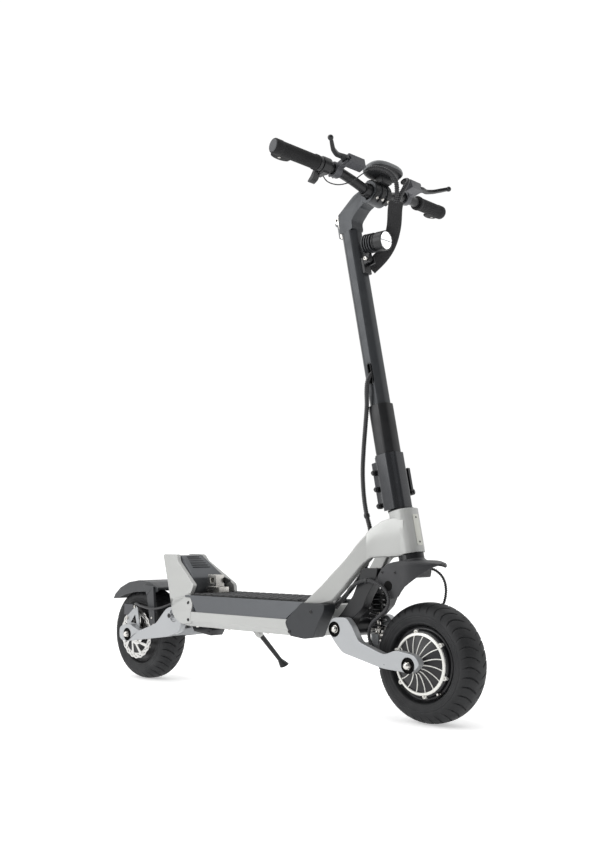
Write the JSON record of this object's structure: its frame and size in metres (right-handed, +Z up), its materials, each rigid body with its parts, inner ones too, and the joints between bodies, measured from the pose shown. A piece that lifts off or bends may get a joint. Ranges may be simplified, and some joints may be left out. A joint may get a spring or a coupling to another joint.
{
  "type": "electric kick scooter",
  "caption": "Two-motor electric kick scooter with a rubber-matted deck, sprung swingarms at both ends, disc brakes and a folding stem with a handlebar.",
  "frame": {"origin": "centre of the footprint, on the ground under the wheels", "axes": "+X forward, +Y to the rider's left, +Z up"},
  "size_m": [1.245, 0.5902, 1.2495],
  "materials": {
    "silver_paint": "light warm grey powder coat on cast aluminium, satin",
    "arm_paint": "cool grey powder coat on cast aluminium, satin",
    "stem_paint": "dark grey anodised aluminium, satin",
    "dark_casting": "dark grey powder coat, satin",
    "black_metal": "black anodised aluminium, satin",
    "black_steel": "black painted steel",
    "steel": "zinc plated and brushed steel",
    "hub_black": "black painted motor cover with white ribs",
    "tyre": "black rubber with curved tread sipes",
    "grip_rubber": "matte moulded rubber",
    "mat_rubber": "moulded rubber with raised blocks",
    "black_plastic": "black moulded plastic",
    "guard_plastic": "dark grey moulded plastic",
    "cable_plastic": "black cable in a spiral wrap",
    "strap_fabric": "black woven sleeve",
    "battery_wrap": "shrink wrap"
  },
  "bodies": {
    "frame": {"head_casting": "silver_paint", "corner_bracket_right": "dark_casting", "corner_bracket_left": "dark_casting", "deck_tray": "silver_paint", "deck_cover": "dark_casting", "deck_mat": "mat_rubber", "rear_fin_right": "silver_paint", "rear_fin_left": "silver_paint", "kickplate": "dark_casting", "latch_base": "steel", "battery_pack": "battery_wrap", "motor_controller": "black_metal", "stem_cable": "cable_plastic"},
    "latch": {"latch_lever": "black_metal"},
    "kickstand": {"kickstand": "black_metal"},
    "rear_arm": {"rear_swingarm": "arm_paint", "rear_axle": "steel", "rear_mudguard": "guard_plastic", "rear_caliper": "black_metal", "rear_brake_hose": "cable_plastic"},
    "rear_shock": {"rear_shock_body": "black_metal", "rear_spring": "black_steel"},
    "rear_shock_rod": {"rear_shock_rod": "steel"},
    "rear_wheel": {"rear_tyre": "tyre", "rear_hub_motor": "hub_black", "rear_brake_disc": "steel"},
    "fork": {"front_fork": "black_metal", "front_mudguard": "guard_plastic"},
    "front_shock": {"front_shock_body": "black_metal", "front_spring": "black_steel"},
    "front_shock_rod": {"front_shock_rod": "steel"},
    "front_arm": {"front_swingarm": "arm_paint", "front_axle": "steel", "front_caliper": "black_metal", "front_motor_cable": "cable_plastic", "front_brake_hose": "cable_plastic"},
    "front_wheel": {"front_tyre": "tyre", "front_hub_motor": "hub_black", "front_brake_disc": "steel"},
    "stem": {"stem_tube": "stem_paint", "fold_block": "black_metal", "stem_head": "stem_paint", "stem_hook": "steel", "headlight_bracket": "black_metal", "handlebar": "black_metal", "grip_right": "grip_rubber", "grip_left": "grip_rubber", "brake_perch_right": "dark_casting", "brake_perch_left": "dark_casting", "throttle_housing": "black_plastic", "display_pod": "black_plastic", "bar_hoses": "cable_plastic", "cable_wrap": "strap_fabric"},
    "headlight": {"headlight": "black_metal"},
    "safety_sleeve": {"safety_sleeve": "black_metal"},
    "fold_lever": {"fold_lever": "black_metal"},
    "brake_lever_right": {"brake_lever_right": "black_metal"},
    "brake_lever_left": {"brake_lever_left": "black_metal"},
    "throttle_paddle": {"throttle_paddle": "black_plastic"}
  },
  "joints": [
    {"name": "steering", "type": "hinge", "parent": "frame", "child": "fork", "pos_m": [0.42311, 0, 0.45226], "axis": [-0.2011, 0, 0.9796], "range_deg": [-40, 40], "deforming": ["stem_cable"]},
    {"name": "stem_fold", "type": "hinge", "parent": "fork", "child": "stem", "pos_m": [0.39327, 0, 0.45839], "axis": [0, -1, 0], "range_deg": [0, 76]},
    {"name": "front_suspension", "type": "hinge", "parent": "fork", "child": "front_arm", "pos_m": [0.289, 0, 0.19], "axis": [0, -1, 0], "range_deg": [0, 12], "stiffness_Nm_per_rad": 420, "springref_deg": -9.17, "deforming": ["front_motor_cable", "front_brake_hose"]},
    {"name": "rear_suspension", "type": "hinge", "parent": "frame", "child": "rear_arm", "pos_m": [-0.287, 0, 0.19], "axis": [0, 1, 0], "range_deg": [0, 12], "stiffness_Nm_per_rad": 420, "springref_deg": -9.17, "deforming": ["rear_brake_hose"]},
    {"name": "front_wheel_spin", "type": "hinge", "parent": "front_arm", "child": "front_wheel", "pos_m": [0.495, 0, 0.1275], "axis": [0, 1, 0], "continuous": true},
    {"name": "rear_wheel_spin", "type": "hinge", "parent": "rear_arm", "child": "rear_wheel", "pos_m": [-0.495, 0, 0.1275], "axis": [0, 1, 0], "continuous": true},
    {"name": "front_shock_swing", "type": "hinge", "parent": "fork", "child": "front_shock", "pos_m": [0.341, 0, 0.29], "axis": [0, -1, 0], "range_deg": [-0.5, 4]},
    {"name": "front_shock_slide", "type": "slide", "parent": "front_shock", "child": "front_shock_rod", "axis": [-0.1012, 0, 0.9949], "range_m": [-0.0005, 0.016], "deforming": ["front_spring"]},
    {"name": "rear_shock_swing", "type": "hinge", "parent": "frame", "child": "rear_shock", "pos_m": [-0.323, 0, 0.28], "axis": [0, 1, 0], "range_deg": [-0.5, 5]},
    {"name": "rear_shock_slide", "type": "slide", "parent": "rear_shock", "child": "rear_shock_rod", "axis": [0.1699, 0, 0.9855], "range_m": [-0.0005, 0.016], "deforming": ["rear_spring"]},
    {"name": "headlight_tilt", "type": "hinge", "parent": "stem", "child": "headlight", "pos_m": [0.32801, 0, 1.02994], "axis": [0, -1, 0], "range_deg": [-8, 8]},
    {"name": "safety_sleeve_slide", "type": "slide", "parent": "stem", "child": "safety_sleeve", "axis": [-0.2011, 0, 0.9796], "range_m": [0, 0.04]},
    {"name": "fold_lever_turn", "type": "hinge", "parent": "stem", "child": "fold_lever", "pos_m": [0.41172, 0.038, 0.4928], "axis": [-0.9796, 0, -0.2011], "range_deg": [0, 90]},
    {"name": "brake_lever_right_turn", "type": "hinge", "parent": "stem", "child": "brake_lever_right", "pos_m": [0.37397, -0.12984, 1.21602], "axis": [0.2737, -0.0946, -0.9571], "range_deg": [0, 16], "stiffness_Nm_per_rad": 0.8, "springref_deg": -17.19},
    {"name": "brake_lever_left_turn", "type": "hinge", "parent": "stem", "child": "brake_lever_left", "pos_m": [0.37397, 0.12984, 1.21602], "axis": [-0.2737, -0.0946, 0.9571], "range_deg": [0, 16], "stiffness_Nm_per_rad": 0.8, "springref_deg": -17.19},
    {"name": "throttle_turn", "type": "hinge", "parent": "stem", "child": "throttle_paddle", "pos_m": [0.32893, -0.16746, 1.20686], "axis": [-0.1178, -0.9909, 0.0643], "range_deg": [0, 25], "stiffness_Nm_per_rad": 0.15, "springref_deg": -22.92},
    {"name": "latch_turn", "type": "hinge", "parent": "frame", "child": "latch", "pos_m": [-0.197, 0.016, 0.282], "axis": [0, -1, 0], "range_deg": [0, 45]},
    {"name": "kickstand_swing", "type": "hinge", "parent": "frame", "child": "kickstand", "pos_m": [-0.117, 0.074, 0.146], "axis": [0.0095, 0.8418, 0.5397], "range_deg": [0, 82]}
  ],
  "couplings": [
    {"joint": "front_shock_swing", "follows": "front_suspension", "ratio": 0.17745},
    {"joint": "front_shock_slide", "follows": "front_suspension", "m_per_rad": 0.063273},
    {"joint": "rear_shock_swing", "follows": "rear_suspension", "ratio": 0.28268},
    {"joint": "rear_shock_slide", "follows": "rear_suspension", "m_per_rad": 0.052687}
  ]
}
